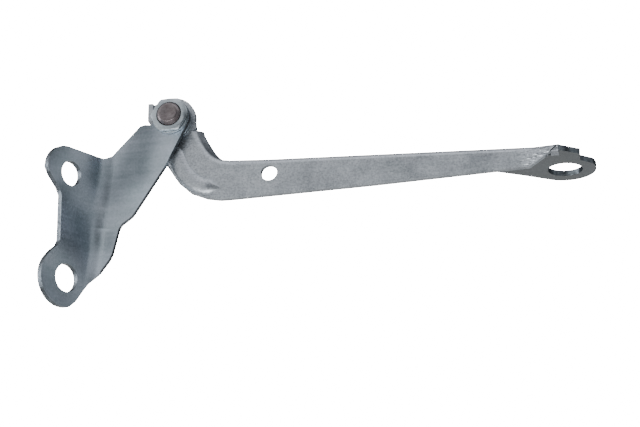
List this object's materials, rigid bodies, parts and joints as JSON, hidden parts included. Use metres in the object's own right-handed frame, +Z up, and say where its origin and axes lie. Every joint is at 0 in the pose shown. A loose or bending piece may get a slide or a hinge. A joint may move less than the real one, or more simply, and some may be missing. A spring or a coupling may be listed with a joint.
{
  "type": "gate opener arm",
  "caption": "Gate opener lever arm on a bolted pivot, with a bent mounting bracket and a flat linkage eye.",
  "frame": {"origin": "centre of the wall face of the bracket foot, between its two holes", "axes": "+X along the lever towards the linkage eye, +Y along the pivot bolt towards its head, +Z up, square to the eye plate"},
  "size_m": [0.2711, 0.0809, 0.1158],
  "materials": {
    "plated_bracket": "zinc plated, satin",
    "galvanised_arm": "hot-dip galvanised, fine spangle",
    "plain_eye": "dull plated",
    "weld_metal": "galvanised over weld ripples",
    "bolt_steel": "turned, lightly oiled",
    "plated_fixing": "zinc plated",
    "bush_bronze": "sintered, dull"
  },
  "bodies": {
    "bracket": {"bracket_plate": "plated_bracket", "pivot_bolt": "bolt_steel", "lock_nut": "plated_fixing", "front_washer": "plated_fixing", "thrust_washer": "plated_fixing", "rear_washer": "plated_fixing"},
    "arm": {"arm_pressing": "galvanised_arm", "pivot_bush": "bush_bronze", "eye_plate": "plain_eye", "eye_weld_1": "weld_metal", "eye_weld_2": "weld_metal", "tip_weld": "weld_metal"}
  },
  "joints": [
    {"name": "arm_pivot", "type": "hinge", "parent": "bracket", "child": "arm", "pos_m": [0.04892, 0.01409, 0.06101], "axis": [0, 1, 0], "range_deg": [-11, 110]}
  ]
}
